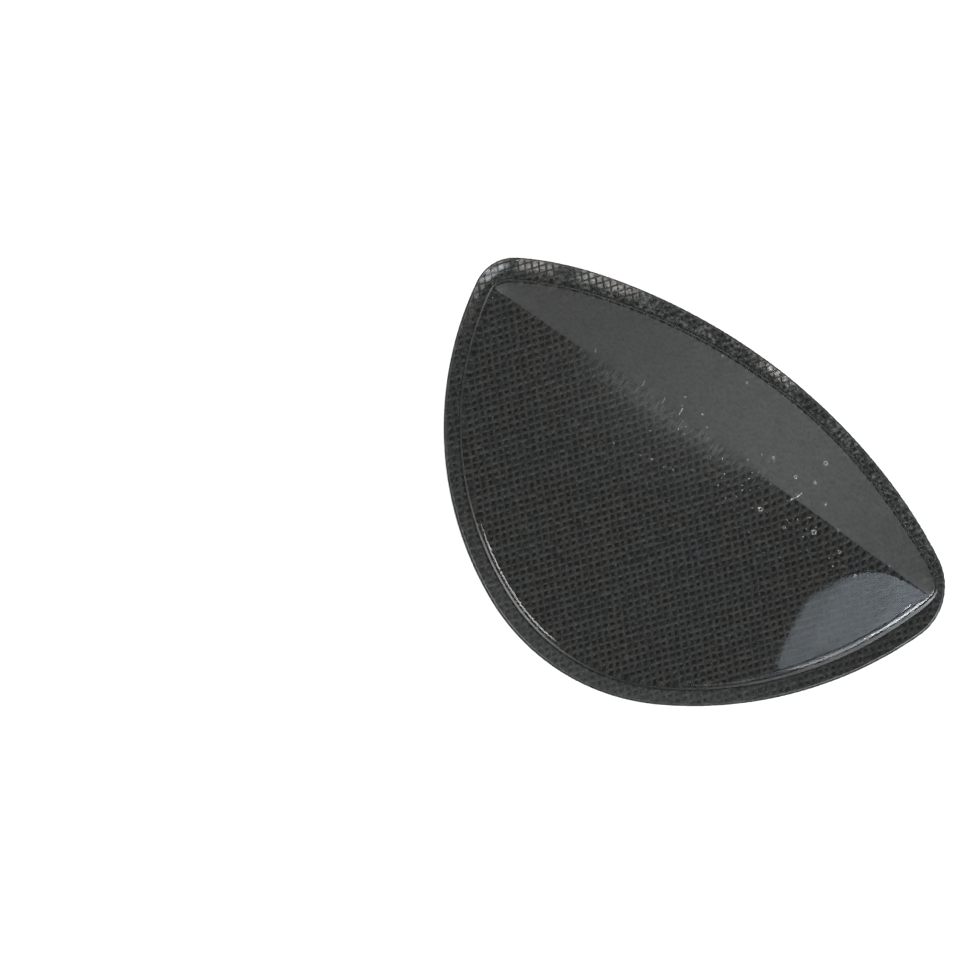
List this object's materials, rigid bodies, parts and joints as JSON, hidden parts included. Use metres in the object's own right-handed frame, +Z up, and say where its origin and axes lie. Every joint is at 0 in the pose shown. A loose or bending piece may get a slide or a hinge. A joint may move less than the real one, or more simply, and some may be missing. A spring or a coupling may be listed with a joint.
{
  "type": "gel arch support",
  "caption": "Half-moon shoe insert: a clear gel wedge with a straight crest and a thin rim, cast on a mesh-backed velour cover, that lifts the arch of the foot.",
  "frame": {"origin": "on the velour face that the pad lies on, at the middle of its length and width", "axes": "+X along the pad from the narrower tip to the rounder one, +Y towards the instep edge, +Z up through the gel"},
  "size_m": [0.085, 0.0556, 0.0094],
  "materials": {
    "velour": "short black velour pile",
    "mesh": "open square mesh of grey thread over black",
    "gel": "clear soft gel, glossy on the long slope and satin on the short one"
  },
  "bodies": {
    "root": {"velour_cover": "velour", "mesh_backing": "mesh", "gel_pad": "gel"}
  },
  "joints": []
}
